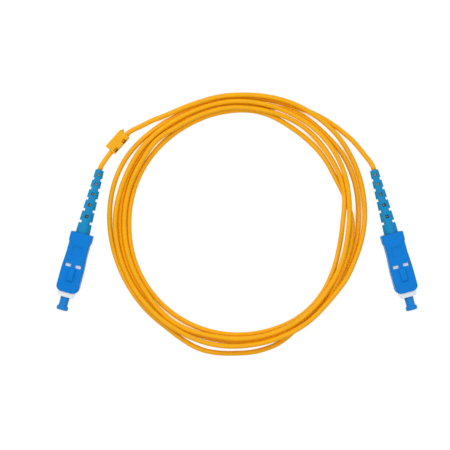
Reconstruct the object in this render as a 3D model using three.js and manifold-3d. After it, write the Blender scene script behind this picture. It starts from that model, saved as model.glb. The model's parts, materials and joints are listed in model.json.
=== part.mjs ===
// A simplex fibre-optic patch cord: one yellow cord wound in a loose ring, a square push-pull plug at each end.
// Millimetres, +Z up. The plugs' flat sides and the ring lie on z = 0, +X runs from the left plug to the right one
// and +Y from the dust caps towards the boots.
// Each plug is built along its own axis: y = 0 is the front face of the grip and +y runs rearwards to the cord.

import * as THREE from "three";
import { mergeVertices } from "three/addons/utils/BufferGeometryUtils.js";
import Module from "manifold-3d";

const wasm = await Module();
wasm.setup();

// ---------------------------------------------------------------------------------------------- driving sizes

const cordDiameter = 2.0; // jacket
const bufferDiameter = 0.9; // buffered fibre
const slideClearance = 0.1; // between pieces that move past each other, on each side
const pressClearance = 0.03; // between pieces that grip each other, on each side
const faceGap = 0.05; // between faces that butt
const cordGap = 0.3; // between the ends of two stretches of cord
const fine = 32; // sides of the turned pieces that show
const coarse = 20; // sides of the turned pieces inside

// The ceramic ferrule, its metal flange and the spring behind it.
const ferrule = { diameter: 2.5, protrusion: 2.0, hold: 2.85, chamfer: 0.3, travel: 1.0 };
const flange = { wall: 0.67, tailWall: 0.6, tailClearance: 0.15, step: 0.15 };
const spring = { wire: 0.4, length: 5.5, curls: 6 };

// The white plug frame that the adapter's sleeve enters.
const frame = {
  noseLength: 2.0,
  noseChamfer: 0.5,
  chamferLength: 1.4,
  mouthDiameter: 4.6,
  webThickness: 1.1,
  webHoleClearance: 0.15,
  chamberClearance: 0.3,
  roof: 0.65,
  cheek: 1.25,
  edgeRadius: 0.5,
};

// The blue dust cap on the ferrule.
const cap = { reach: 5.6, entry: 3.0, barrelDiameter: 3.8, rimDiameter: 4.7, rimLength: 1.8, endWall: 1.0, margin: 0.5 };

// The metal spring stop, pressed into the rear of the plug frame.
const stop = { collarLength: 4.75, rimStep: 0.45, rimThickness: 1.0, stemLength: 5.95, stemWall: 0.7 };
const lug = { setback: 1.6, length: 1.2, height: 1.6, proud: 0.8 };

// What the crimp holds.
const guideTube = { wall: 0.3, inset: 0.3 };
const yarn = { thickness: 0.2, inset: 0.4 };
const crimp = { wall: 0.4, inset: 0.3, shoulder: 0.5, grip: 3.0 };

// The blue grip that slides on the plug frame.
const grip = {
  length: 24.7,
  roof: 0.7,
  frontCheek: 1.0,
  waistCheek: 0.6,
  wingCheek: 0.95,
  frontLand: 8.5,
  waistLength: 2.9,
  flare: 1.4,
  wingLength: 3.1,
  frontRadius: 2.2,
  rearRadius: 0.35,
  edgeRadius: 0.6,
  travel: 1.6,
};
const gripWindow = { setback: 11.1, length: 1.3, inner: 0.95, width: 2.55 };
const key = { setback: 4.7, length: 5.2, width: 2.3, height: 0.8, slope: 0.4 };
const thumbPanel = { setback: 15.0, length: 4.0, width: 4.0, depth: 0.2 };
const rib = { setback: 6.0, length: 2.0, height: 3.0, proud: 0.35 };

// The blue rubber boot, slotted at the sides and, between those slots, at top and bottom.
const boot = {
  reach: 26.9,
  rootWall: 0.56,
  tipWall: 0.7,
  boreClearance: 0.05,
  slots: 5,
  slotLength: 1.05,
  firstSlot: 4.7,
  firstPitch: 5.0,
  pitchShrink: 0.3,
  rootSpine: 3.2,
  tipSpine: 2.5,
  windowLength: 0.9,
  windowWidth: 1.0,
  tipRadius: 0.5,
};

// Where the plugs lie: the middle of each grip from the ring's centre, and how far each leans towards the other.
const plugPlace = { x: 66.3, y: -16.0, leanDegrees: 15.25 };

// The ring. Its turns share six lanes, counted from the inside. Lanes 0, 2 and 4 lie on the ground,
// 1, 3 and 5 on top of them. The ring isn't quite round: the innermost lane's radius and the step
// from lane to lane are given at twelve bearings, 30 degrees apart from +X.
const innerRadius = [43.4, 44.5, 45.3, 46.2, 45.0, 44.5, 44.2, 44.8, 45.3, 45.6, 45.7, 44.3];
const laneStep = [2.07, 2.0, 1.78, 1.25, 1.38, 1.9, 1.88, 1.6, 1.5, 1.43, 1.25, 1.4];
const turnSteps = 24;
const turnPitch = 2.5; // from the middle of one turn to the middle of the next that touches it
const ringStart = 45; // degrees, counted on through all the turns
const ringEnd = 5 * 360 + 120;
const laneAtStart = 7;
const laneChanges = [
  { begins: 25, ends: 76, lane: 4.35 },
  { begins: 95, ends: 125, lane: 4 },
  { begins: 290, ends: 330, lane: 3.1 },
  { begins: 362, ends: 386, lane: 3.5 },
  { begins: 388, ends: 408, lane: 3 },
  { begins: 420, ends: 448, lane: 2 },
  { begins: 714, ends: 750, lane: 0 },
  { begins: 1077, ends: 1104, lane: 1 },
  { begins: 1430, ends: 1494, lane: 2.7 },
  { begins: 1505, ends: 1532, lane: 3 },
  { begins: 1738, ends: 1776, lane: 4 },
  { begins: 1780, ends: 1850, lane: 5.05 },
  { begins: 1905, ends: 1945, lane: 6.2 },
];
// Towards the lower right the turns bunch up, three deep: each leaves its lane for another and comes back.
const bunch = { begins: 287, tightFrom: 311, tightTo: 313, ends: 335, lanes: [1.8, 3.2, 0.35, 1.0, 3.2] };
// Here and there a turn strays from its lane, by so many millimetres, fading out over `reach` degrees.
const strays = [
  { at: 160, reach: 42, by: 0.75 },
  { at: 253, reach: 20, by: 1.75 },
  { at: 275, reach: 32, by: 1.85 },
  { at: 408, reach: 26, by: 0.75 },
  { at: 422, reach: 16, by: 0.5 },
  { at: 772, reach: 18, by: -0.2 },
  { at: 798, reach: 20, by: 0.6 },
  { at: 1067, reach: 25, by: -0.55 },
  { at: 1136, reach: 28, by: 0.95 },
  { at: 1214, reach: 14, by: 0.9 },
  { at: 1318, reach: 25, by: 1.2 },
  { at: 1596, reach: 27, by: -0.8 },
  { at: 1697, reach: 22, by: 0.4 },
];

// The marker clip on the left lead: where its middle is, from the ring's centre, and which way the cord runs in it.
const clip = {
  x: -48.1,
  y: 32.8,
  z: 2.6,
  bearing: 48,
  length: 9.2,
  width: 4.9,
  height: 4.0,
  offset: 0.85,
  edgeRadius: 0.5,
  slotHeight: 1.6,
  notchLength: 1.7,
  notchSpacing: 4.8,
  notchShift: -0.5,
  notchDepth: 1.3,
  tabLength: 1.3,
  tabWidth: 1.5,
  tabThickness: 1.6,
  travel: 1.0,
};

// The leads' free points between the ring and each boot, from the ring's centre.
const leadStraight = 1.2; // run of cord straight out of a boot or a turn
const leadStep = 2.5; // between the rings of points along a lead
const rightLeadPoints = [
  [44.0, 36.9, 1.25],
  [47.2, 34.1, 1.7],
  [50.6, 30.1, 2.45],
  [52.9, 27.1, 3.1],
  [54.6, 24.9, 3.45],
];
const leftLeadPoints = [
  [-42.6, 38.2, 2.6],
  [-39.4, 39.7, 2.5],
  [-35.1, 41.9, 2.3],
  [-31.3, 43.4, 2.2],
];

// ---------------------------------------------------------------------------------------------- materials

const plastic = (color, roughness) => new THREE.MeshStandardMaterial({ color, roughness, metalness: 0 });
const metal = (color, roughness) => new THREE.MeshStandardMaterial({ color, roughness, metalness: 1 });

const finishes = {
  gripBlue: () => plastic("#0b78d6", 0.35),
  bootBlue: () => plastic("#1583c0", 0.6),
  capBlue: () => plastic("#1f7fd2", 0.4),
  frameWhite: () => plastic("#eef1f3", 0.4),
  zirconia: () => plastic("#f7f5ef", 0.12),
  flangeSteel: () => metal("#c2c4c8", 0.3),
  springSteel: () => metal("#a9abad", 0.35),
  stopNickel: () => metal("#c8c4ba", 0.35),
  crimpAluminium: () => metal("#b9bcc0", 0.45),
  yarnYellow: () => plastic("#d9bb57", 0.9),
  tubeWhite: () => plastic("#e9e7e0", 0.5),
  bufferWhite: () => plastic("#f0ede2", 0.5),
  jacketYellow: () => plastic("#f0b429", 0.5),
  clipYellow: () => plastic("#f2b21b", 0.4),
};

// ---------------------------------------------------------------------------------------------- shape helpers

// A closed geometry as a solid that can be joined and cut.
function solid(geometry) {
  const bare = geometry.index ? geometry.toNonIndexed() : geometry.clone();
  const points = new THREE.BufferGeometry().setAttribute("position", bare.getAttribute("position"));
  const merged = mergeVertices(points, 1e-4);
  const corners = merged.index.array;
  const triangles = [];
  for (let i = 0; i < corners.length; i += 3) {
    const [a, b, c] = [corners[i], corners[i + 1], corners[i + 2]];
    if (a !== b && b !== c && c !== a) triangles.push(a, b, c);
  }
  const vertProperties = merged.attributes.position.array;
  const triVerts = new Uint32Array(triangles);
  return new wasm.Manifold(new wasm.Mesh({ numProp: 3, vertProperties, triVerts }));
}

function mesh(name, body, material) {
  const { vertProperties, triVerts } = body.getMesh();
  const indexed = new THREE.BufferGeometry();
  indexed.setAttribute("position", new THREE.BufferAttribute(new Float32Array(vertProperties), 3));
  indexed.setIndex(new THREE.BufferAttribute(new Uint32Array(triVerts), 1));
  const geometry = indexed.toNonIndexed();
  geometry.computeVertexNormals();
  const made = new THREE.Mesh(geometry, material);
  made.name = name;
  return made;
}

// A piece turned about the plug's axis. The profile lists [radius, y] with the material on its left.
function turned(profile, sides) {
  const points = profile.map(([radius, y]) => new THREE.Vector2(radius, y));
  return solid(new THREE.LatheGeometry(points, sides));
}

// A turned piece with a bore, whose profile closes on itself.
const turnedRing = (profile, sides) => turned([...profile, profile[0]], sides);

const tube = (inner, outer, from, to, sides) =>
  turnedRing(
    [
      [inner, from],
      [outer, from],
      [outer, to],
      [inner, to],
    ],
    sides,
  );

// A box between two values of x, y and z.
function block([x0, x1], [y0, y1], [z0, z1]) {
  const geometry = new THREE.BoxGeometry(x1 - x0, y1 - y0, z1 - z0);
  geometry.translate((x0 + x1) / 2, (y0 + y1) / 2, (z0 + z1) / 2);
  return solid(geometry);
}

// Rings of points, each with the same count, skinned into one closed body.
function skinned(rings) {
  const count = rings[0].length;
  const corners = [];
  const face = (...points) => points.forEach((p) => corners.push(p.x, p.y, p.z));
  for (let i = 0; i + 1 < rings.length; i++) {
    for (let j = 0; j < count; j++) {
      const k = (j + 1) % count;
      face(rings[i][j], rings[i][k], rings[i + 1][k]);
      face(rings[i][j], rings[i + 1][k], rings[i + 1][j]);
    }
  }
  const last = rings[rings.length - 1];
  for (let j = 1; j + 1 < count; j++) {
    face(rings[0][0], rings[0][j + 1], rings[0][j]);
    face(last[0], last[j], last[j + 1]);
  }
  const geometry = new THREE.BufferGeometry();
  geometry.setAttribute("position", new THREE.BufferAttribute(new Float32Array(corners), 3));
  return solid(geometry);
}

// A square-sided body with rounded long edges, whose width and height may change along y.
function lofted(sections) {
  const perCorner = 3;
  return skinned(
    sections.map(({ y, halfWidth, halfHeight, radius, x = 0 }) => {
      const ring = [];
      for (let corner = 0; corner < 4; corner++) {
        const sx = corner === 0 || corner === 3 ? 1 : -1;
        const sz = corner < 2 ? 1 : -1;
        for (let i = 0; i <= perCorner; i++) {
          const angle = (Math.PI / 2) * (corner + i / perCorner);
          const px = x + sx * (halfWidth - radius) + radius * Math.cos(angle);
          const pz = sz * (halfHeight - radius) + radius * Math.sin(angle);
          ring.push(new THREE.Vector3(px, y, pz));
        }
      }
      return ring.reverse();
    }),
  );
}

// A round cord or wire along a list of points: a ring of points at each, square to the path.
// `upright` is a direction that the path never takes.
function rope(path, radius, sides, upright) {
  return skinned(
    path.map((point, i) => {
      const ahead = path[Math.min(i + 1, path.length - 1)];
      const behind = path[Math.max(i - 1, 0)];
      const along = ahead.clone().sub(behind).normalize();
      const across = new THREE.Vector3().crossVectors(along, upright).normalize();
      const down = new THREE.Vector3().crossVectors(along, across);
      return Array.from({ length: sides }, (_, j) => {
        const angle = (2 * Math.PI * j) / sides + Math.PI / 2;
        return point
          .clone()
          .addScaledVector(across, radius * Math.cos(angle))
          .addScaledVector(down, radius * Math.sin(angle));
      });
    }),
  );
}

// The least space between the turns of a wound path, from points along it: pairs nearer than `apart`
// along the path belong to the same turn.
function leastGap(path, diameter, apart) {
  const points = [];
  const lengths = [];
  let run = 0;
  for (let i = 0; i + 1 < path.length; i++) {
    const stretch = path[i].distanceTo(path[i + 1]);
    for (let part = 0; part < 4; part++) {
      points.push(path[i].clone().lerp(path[i + 1], part / 4));
      lengths.push(run + (stretch * part) / 4);
    }
    run += stretch;
  }
  let least = Infinity;
  for (let i = 0; i < points.length; i++) {
    for (let j = i + 1; j < points.length; j++) {
      if (lengths[j] - lengths[i] > apart) least = Math.min(least, points[i].distanceTo(points[j]));
    }
  }
  return least - diameter;
}

const radians = (degrees) => (degrees * Math.PI) / 180;
const ease = (t) => t * t * (3 - 2 * t);
const clamp = (value) => Math.min(Math.max(value, 0), 1);
const rise = (value, from, to) => ease(clamp((value - from) / (to - from)));

// ---------------------------------------------------------------------------------------------- derived sizes

// Diameters, from the fibre outwards.
const guideBore = bufferDiameter + 2 * slideClearance;
const guideDiameter = guideBore + 2 * guideTube.wall;
const stopBore = guideDiameter + 2 * slideClearance;
const stemDiameter = stopBore + 2 * stop.stemWall;
const yarnBore = stemDiameter + 2 * pressClearance;
const yarnDiameter = yarnBore + 2 * yarn.thickness;
const crimpBore = yarnDiameter + 2 * pressClearance;
const crimpDiameter = crimpBore + 2 * crimp.wall;
const crimpTailBore = cordDiameter + 2 * pressClearance;
const crimpTailDiameter = crimpTailBore + 2 * crimp.wall;
const ferruleSeat = ferrule.diameter + 2 * pressClearance;
const flangeDiameter = ferruleSeat + 2 * flange.wall;
const tailBore = bufferDiameter + 2 * flange.tailClearance;
const tailDiameter = tailBore + 2 * flange.tailWall;
const springBore = tailDiameter + 2 * slideClearance;
const springDiameter = springBore + 2 * spring.wire;
const chamberDiameter = Math.max(flangeDiameter, springDiameter) + 2 * frame.chamberClearance;
const frameWidth = chamberDiameter + 2 * frame.cheek;
const frameHeight = chamberDiameter + 2 * frame.roof;
const bootBore = cordDiameter + 2 * boot.boreClearance;
const bootTipDiameter = bootBore + 2 * boot.tipWall;
const bootRootBore = crimpDiameter + 2 * pressClearance;
const bootRootDiameter = bootRootBore + 2 * boot.rootWall;
const cavityWidth = Math.max(frameWidth, bootRootDiameter) + 2 * slideClearance;
const cavityHeight = Math.max(frameHeight, bootRootDiameter) + 2 * slideClearance;
const gripHeight = cavityHeight + 2 * grip.roof;

// Places along the plug's axis, from the front to the rear.
const noseFront = -frame.noseLength;
const ferruleTip = noseFront - ferrule.protrusion;
const capTip = noseFront - cap.reach;
const capMouth = noseFront + cap.entry;
const webFront = capMouth + ferrule.travel + cap.margin;
const webRear = webFront + frame.webThickness;
const flangeFront = webRear + faceGap;
const ferruleRear = flangeFront + ferrule.hold;
const flangeRear = ferruleRear + flange.step;
const springFront = flangeRear + faceGap;
const springRear = springFront + spring.length;
const tailRear = springRear - ferrule.travel - cap.margin;
const stopFront = springRear + faceGap;
const frameRear = stopFront + stop.collarLength;
const rimFront = frameRear + faceGap;
const rimRear = rimFront + stop.rimThickness;
const stemRear = rimRear + stop.stemLength;
const crimpFront = rimRear + crimp.inset;
const crimpShoulder = stemRear + crimp.shoulder;
const crimpTaper = crimp.wall;
const crimpRear = crimpShoulder + crimpTaper + crimp.grip;
const jacketFront = crimpShoulder + crimpTaper + faceGap;
const bootFront = rimRear + crimp.inset;
const bootRear = grip.length + boot.reach;
const axisHeight = gripHeight / 2;

// ---------------------------------------------------------------------------------------------- plug pieces

function ferruleBody() {
  const radius = ferrule.diameter / 2;
  return turned(
    [
      [0, ferruleTip],
      [radius - ferrule.chamfer, ferruleTip],
      [radius, ferruleTip + 2 * ferrule.chamfer],
      [radius, ferruleRear],
      [0, ferruleRear],
    ],
    fine,
  );
}

function flangeBody() {
  return turnedRing(
    [
      [ferruleSeat / 2, flangeFront],
      [flangeDiameter / 2 - flange.step, flangeFront],
      [flangeDiameter / 2, flangeFront + flange.step],
      [flangeDiameter / 2, flangeRear],
      [tailDiameter / 2, flangeRear],
      [tailDiameter / 2, tailRear],
      [tailBore / 2, tailRear],
      [tailBore / 2, ferruleRear + faceGap],
      [ferruleSeat / 2, ferruleRear + faceGap],
    ],
    coarse,
  );
}

function springPath() {
  const stepsPerCurl = 8;
  const steps = spring.curls * stepsPerCurl;
  const radius = (springBore + spring.wire) / 2;
  const from = springFront + spring.wire / 2;
  const run = spring.length - spring.wire;
  return Array.from({ length: steps + 1 }, (_, i) => {
    const angle = (2 * Math.PI * i) / stepsPerCurl;
    return new THREE.Vector3(radius * Math.cos(angle), from + (run * i) / steps, radius * Math.sin(angle));
  });
}

const springBody = (path) => rope(path, spring.wire / 2, 5, new THREE.Vector3(0, 1, 0));

function plugFrameBody() {
  const full = { halfWidth: frameWidth / 2, halfHeight: frameHeight / 2, radius: frame.edgeRadius };
  const tip = {
    halfWidth: full.halfWidth - frame.noseChamfer,
    halfHeight: full.halfHeight - frame.noseChamfer / 2,
    radius: frame.edgeRadius,
  };
  const outside = lofted([
    { y: noseFront, ...tip },
    { y: noseFront + frame.chamferLength, ...full },
    { y: frameRear, ...full },
  ]);
  const through = 1;
  const hollow = turned(
    [
      [0, noseFront - through],
      [frame.mouthDiameter / 2, noseFront - through],
      [frame.mouthDiameter / 2, webFront],
      [ferrule.diameter / 2 + frame.webHoleClearance, webFront],
      [ferrule.diameter / 2 + frame.webHoleClearance, webRear],
      [chamberDiameter / 2, webRear],
      [chamberDiameter / 2, frameRear + through],
      [0, frameRear + through],
    ],
    fine,
  );
  let body = outside.subtract(hollow);
  const wall = frameWidth / 2;
  for (const side of [-1, 1]) {
    const across = (from, to) => (side > 0 ? [from, to] : [-to, -from]);
    // The lug windows at the rear.
    const lugFront = stopFront + lug.setback;
    body = body.subtract(
      block(
        across(chamberDiameter / 4, wall + 1),
        [lugFront - slideClearance, lugFront + lug.length + slideClearance],
        [-lug.height / 2 - slideClearance, lug.height / 2 + slideClearance],
      ),
    );
    // The grooves in which the grip's ribs travel.
    body = body.subtract(
      block(
        across(wall - rib.proud - slideClearance, wall + 1),
        [rib.setback - slideClearance, rib.setback + rib.length + grip.travel + slideClearance],
        [-rib.height / 2 - slideClearance, rib.height / 2 + slideClearance],
      ),
    );
  }
  return body;
}

function springStopBody() {
  const collar = chamberDiameter / 2 - pressClearance;
  const rim = collar + stop.rimStep;
  let body = turnedRing(
    [
      [stopBore / 2, stopFront],
      [collar, stopFront],
      [collar, rimFront],
      [rim, rimFront],
      [rim, rimRear],
      [stemDiameter / 2, rimRear],
      [stemDiameter / 2, stemRear],
      [stopBore / 2, stemRear],
    ],
    coarse,
  );
  const lugFront = stopFront + lug.setback;
  const bite = 0.4;
  for (const side of [-1, 1]) {
    const from = collar - bite;
    const to = chamberDiameter / 2 + lug.proud;
    body = body.add(
      block(
        side > 0 ? [from, to] : [-to, -from],
        [lugFront, lugFront + lug.length],
        [-lug.height / 2, lug.height / 2],
      ),
    );
  }
  return body;
}

const guideTubeBody = () =>
  tube(guideBore / 2, guideDiameter / 2, stopFront + guideTube.inset, stemRear - guideTube.inset, coarse);

function bufferBody() {
  const front = ferruleRear + 2 * ferrule.travel;
  return turned(
    [
      [0, front],
      [bufferDiameter / 2, front],
      [bufferDiameter / 2, jacketFront - faceGap],
      [0, jacketFront - faceGap],
    ],
    coarse,
  );
}

const yarnBody = () =>
  tube(yarnBore / 2, yarnDiameter / 2, rimRear + yarn.inset, stemRear - yarn.inset, coarse);

function crimpBody() {
  return turnedRing(
    [
      [crimpBore / 2, crimpFront],
      [crimpDiameter / 2, crimpFront],
      [crimpDiameter / 2, crimpShoulder],
      [crimpTailDiameter / 2, crimpShoulder + crimpTaper],
      [crimpTailDiameter / 2, crimpRear],
      [crimpTailBore / 2, crimpRear],
      [crimpTailBore / 2, crimpShoulder + crimpTaper],
      [crimpBore / 2, crimpShoulder],
    ],
    coarse,
  );
}

function jacketEndBody() {
  return turned(
    [
      [0, jacketFront],
      [cordDiameter / 2, jacketFront],
      [cordDiameter / 2, bootRear],
      [0, bootRear],
    ],
    coarse,
  );
}

function dustCapBody() {
  const rim = cap.rimDiameter / 2;
  const barrel = cap.barrelDiameter / 2;
  const bore = ferrule.diameter / 2 + pressClearance;
  const round = 0.35;
  return turned(
    [
      [0, capTip],
      [rim - round, capTip],
      [rim - round * 0.3, capTip + round * 0.3],
      [rim, capTip + round],
      [rim, capTip + cap.rimLength - round],
      [barrel, capTip + cap.rimLength],
      [barrel, capMouth - round],
      [barrel - round / 2, capMouth],
      [bore + round / 2, capMouth],
      [bore, capMouth - round],
      [bore, capTip + cap.endWall],
      [0, capTip + cap.endWall],
    ],
    fine,
  );
}

// Half the grip's width along its length: rounded front, straight land, waist, flared wings, rounded rear.
function gripOutline() {
  const front = cavityWidth / 2 + grip.frontCheek;
  const waist = cavityWidth / 2 + grip.waistCheek;
  const wing = cavityWidth / 2 + grip.wingCheek;
  const flareEnd = grip.length - grip.wingLength;
  const flareStart = flareEnd - grip.flare;
  const waistStart = flareStart - grip.waistLength;
  const outline = [];
  const frontArcSteps = 5;
  for (let i = 0; i <= frontArcSteps; i++) {
    const angle = ((Math.PI / 2) * i) / frontArcSteps;
    outline.push([grip.frontRadius * (1 - Math.cos(angle)), front - grip.frontRadius * (1 - Math.sin(angle))]);
  }
  const taperSteps = 4;
  for (let i = 0; i <= taperSteps; i++) {
    const t = i / taperSteps;
    outline.push([grip.frontLand + (waistStart - grip.frontLand) * t, front + (waist - front) * ease(t)]);
  }
  const flareSteps = 3;
  for (let i = 0; i <= flareSteps; i++) {
    const t = i / flareSteps;
    outline.push([flareStart + grip.flare * t, waist + (wing - waist) * ease(t)]);
  }
  outline.push([grip.length - grip.rearRadius, wing]);
  outline.push([grip.length, wing - grip.rearRadius]);
  return outline;
}

// The key on top of the grip, seen from the side.
function keyBody() {
  const base = gripHeight / 2 - grip.roof / 2;
  const top = gripHeight / 2 + key.height;
  const side = new THREE.Shape([
    new THREE.Vector2(key.setback, base),
    new THREE.Vector2(key.setback + key.length, base),
    new THREE.Vector2(key.setback + key.length, top),
    new THREE.Vector2(key.setback + key.slope, top),
    new THREE.Vector2(key.setback, gripHeight / 2 + key.height / 2),
  ]);
  const geometry = new THREE.ExtrudeGeometry(side, { depth: key.width, bevelEnabled: false });
  // The shape's x and y become the plug's y and z, and its depth the plug's x.
  const turn = new THREE.Matrix4().makeBasis(
    new THREE.Vector3(0, 1, 0),
    new THREE.Vector3(0, 0, 1),
    new THREE.Vector3(1, 0, 0),
  );
  geometry.applyMatrix4(turn).translate(-key.width / 2, 0, 0);
  return solid(geometry);
}

function gripBody() {
  const halfHeight = gripHeight / 2;
  const sections = gripOutline().map(([y, halfWidth]) => ({ y, halfWidth, halfHeight, radius: grip.edgeRadius }));
  const through = 1;
  let body = lofted(sections)
    .subtract(
      block(
        [-cavityWidth / 2, cavityWidth / 2],
        [-through, grip.length + through],
        [-cavityHeight / 2, cavityHeight / 2],
      ),
    )
    .add(keyBody());
  for (const side of [-1, 1]) {
    const across = (from, to) => (side > 0 ? [from, to] : [-to, -from]);
    // The windows in the top and the bottom, through which the plug frame shows.
    body = body.subtract(
      block(
        across(gripWindow.inner, gripWindow.inner + gripWindow.width),
        [gripWindow.setback - gripWindow.length / 2, gripWindow.setback + gripWindow.length / 2],
        [-halfHeight - key.height - through, halfHeight + key.height + through],
      ),
    );
    // The rib inside each cheek that stops the grip at both ends of its travel.
    body = body.add(
      block(
        across(cavityWidth / 2 - rib.proud, cavityWidth / 2 + grip.waistCheek / 2),
        [rib.setback, rib.setback + rib.length],
        [-rib.height / 2, rib.height / 2],
      ),
    );
    // The shallow thumb panel, top and bottom.
    const floor = halfHeight - thumbPanel.depth;
    body = body.subtract(
      block(
        [-thumbPanel.width / 2, thumbPanel.width / 2],
        [thumbPanel.setback, thumbPanel.setback + thumbPanel.length],
        side > 0 ? [floor, halfHeight + through] : [-halfHeight - through, -floor],
      ),
    );
  }
  return body;
}

function bootBody() {
  const rootEnd = grip.length + grip.travel + slideClearance;
  const rootRadius = bootRootDiameter / 2;
  const tipRadius = bootTipDiameter / 2;
  const fit = pressClearance;
  let body = turnedRing(
    [
      [bootRootBore / 2, bootFront],
      [rootRadius, bootFront],
      [rootRadius, rootEnd],
      [tipRadius, bootRear - boot.tipRadius],
      [tipRadius - boot.tipRadius * 0.3, bootRear - boot.tipRadius * 0.3],
      [tipRadius - boot.tipRadius, bootRear],
      [bootBore / 2, bootRear],
      [bootBore / 2, crimpRear + fit + faceGap],
      [crimpTailDiameter / 2 + fit, crimpRear + fit + faceGap],
      [crimpTailDiameter / 2 + fit, crimpShoulder + crimpTaper + faceGap],
      [bootRootBore / 2, crimpShoulder + faceGap],
    ],
    fine,
  );
  const beyond = rootRadius + 1;
  let middle = grip.length + boot.firstSlot;
  for (let i = 0; i < boot.slots; i++) {
    const pitch = boot.firstPitch - boot.pitchShrink * i;
    const share = i / Math.max(boot.slots - 1, 1);
    const spine = boot.rootSpine + (boot.tipSpine - boot.rootSpine) * share;
    for (const side of [-1, 1]) {
      body = body.subtract(
        block(
          side > 0 ? [spine / 2, beyond] : [-beyond, -spine / 2],
          [middle - boot.slotLength / 2, middle + boot.slotLength / 2],
          [-beyond, beyond],
        ),
      );
    }
    // The window through top and bottom, halfway to the next slot or to the boot's end.
    const windowMiddle = middle + pitch / 2;
    body = body.subtract(
      block(
        [-boot.windowWidth / 2, boot.windowWidth / 2],
        [windowMiddle - boot.windowLength / 2, windowMiddle + boot.windowLength / 2],
        [-beyond, beyond],
      ),
    );
    middle += pitch;
  }
  return body;
}

const springRun = springPath();

function plug(side, sign) {
  const pieces = [
    mesh(`dust_cap_${side}`, dustCapBody(), finishes.capBlue()),
    mesh(`ferrule_${side}`, ferruleBody(), finishes.zirconia()),
    mesh(`ferrule_flange_${side}`, flangeBody(), finishes.flangeSteel()),
    mesh(`spring_${side}`, springBody(springRun), finishes.springSteel()),
    mesh(`plug_frame_${side}`, plugFrameBody(), finishes.frameWhite()),
    mesh(`spring_stop_${side}`, springStopBody(), finishes.stopNickel()),
    mesh(`guide_tube_${side}`, guideTubeBody(), finishes.tubeWhite()),
    mesh(`fibre_buffer_${side}`, bufferBody(), finishes.bufferWhite()),
    mesh(`aramid_yarn_${side}`, yarnBody(), finishes.yarnYellow()),
    mesh(`crimp_sleeve_${side}`, crimpBody(), finishes.crimpAluminium()),
    mesh(`jacket_end_${side}`, jacketEndBody(), finishes.jacketYellow()),
    mesh(`grip_${side}`, gripBody(), finishes.gripBlue()),
    mesh(`boot_${side}`, bootBody(), finishes.bootBlue()),
  ];
  const group = new THREE.Group();
  group.add(...pieces);
  const lean = radians(plugPlace.leanDegrees);
  const gripMiddle = grip.length / 2;
  group.rotation.z = sign * lean;
  group.position.set(
    sign * (plugPlace.x + gripMiddle * Math.sin(lean)),
    plugPlace.y - gripMiddle * Math.cos(lean),
    axisHeight,
  );
  return group;
}

// ---------------------------------------------------------------------------------------------- cord

// A value given at twelve bearings, read at any bearing along a smooth closed curve.
function around(values, bearing) {
  const place = (((bearing % 360) + 360) % 360) / (360 / values.length);
  const i = Math.floor(place);
  const t = place - i;
  const [a, b, c, d] = [-1, 0, 1, 2].map((k) => values[(i + k + values.length) % values.length]);
  return 0.5 * (2 * b + (c - a) * t + (2 * a - 5 * b + 4 * c - d) * t * t + (3 * b - a - 3 * c + d) * t * t * t);
}

// The lane that the cord runs in at a bearing counted through all its turns.
function laneAt(bearing) {
  let lane = laneAtStart;
  for (const change of laneChanges) {
    lane += (change.lane - lane) * rise(bearing, change.begins, change.ends);
  }
  bunch.lanes.forEach((bunched, turn) => {
    const here = bearing - 360 * turn;
    const share = rise(here, bunch.begins, bunch.tightFrom) - rise(here, bunch.tightTo, bunch.ends);
    lane += (bunched - lane) * share;
  });
  return lane;
}

function ringRadius(bearing) {
  const step = Math.max(around(laneStep, bearing), turnPitch / 2);
  const strayed = strays.reduce((sum, { at, reach, by }) => {
    return sum + by * ease(clamp(1 - Math.abs(bearing - at) / reach));
  }, 0);
  return around(innerRadius, bearing) + laneAt(bearing) * step + strayed;
}

// Each turn lies on the ground, or rests on the earlier turns that it comes near. A point is as high
// as the whole stretch from the point before it to the point after it needs.
function ringPath() {
  const stepDegrees = 360 / turnSteps;
  const count = Math.round((ringEnd - ringStart) / stepDegrees) + 1;
  const radiusAt = (place) => ringRadius(ringStart + place * stepDegrees);
  const heights = [];
  const heightAt = (place) => {
    const i = Math.floor(place);
    return heights[i] + (heights[Math.ceil(place)] - heights[i]) * (place - i);
  };
  for (let i = 0; i < count; i++) {
    let height = cordDiameter / 2;
    for (let over = i - 1; over <= i + 1; over += 0.25) {
      for (let under = over - turnSteps; under >= 0; under -= turnSteps) {
        const beside = Math.abs(radiusAt(over) - radiusAt(under));
        if (beside >= turnPitch) continue;
        height = Math.max(height, heightAt(under) + Math.sqrt(turnPitch ** 2 - beside ** 2));
      }
    }
    heights.push(height);
  }
  return heights.map((height, i) => {
    const angle = radians(ringStart + i * stepDegrees);
    const radius = radiusAt(i);
    return new THREE.Vector3(radius * Math.cos(angle), radius * Math.sin(angle), height);
  });
}

// Where a boot ends, how the cord leaves it, and the point that the straight run out of it reaches.
function bootExit(sign) {
  const lean = radians(plugPlace.leanDegrees);
  const along = new THREE.Vector3(-sign * Math.sin(lean), Math.cos(lean), 0);
  const gripMiddle = new THREE.Vector3(sign * plugPlace.x, plugPlace.y, axisHeight);
  return { end: gripMiddle.addScaledVector(along, bootRear - grip.length / 2), along };
}

function straightRun({ end, along }) {
  return [cordGap, leadStraight].map((distance) => end.clone().addScaledVector(along, distance));
}

// A lead is an octagonal tube along a smooth curve through its points.
function leadBody(points) {
  const curve = new THREE.CatmullRomCurve3(points, false, "centripetal");
  const section = new THREE.Shape(
    Array.from({ length: 8 }, (_, i) => {
      const angle = (2 * Math.PI * (i + 0.5)) / 8;
      return new THREE.Vector2((cordDiameter / 2) * Math.cos(angle), (cordDiameter / 2) * Math.sin(angle));
    }),
  );
  const steps = Math.round(curve.getLength() / leadStep);
  const geometry = new THREE.ExtrudeGeometry(section, { steps, extrudePath: curve, bevelEnabled: false });
  return { body: solid(geometry), length: curve.getLength() };
}

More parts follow.
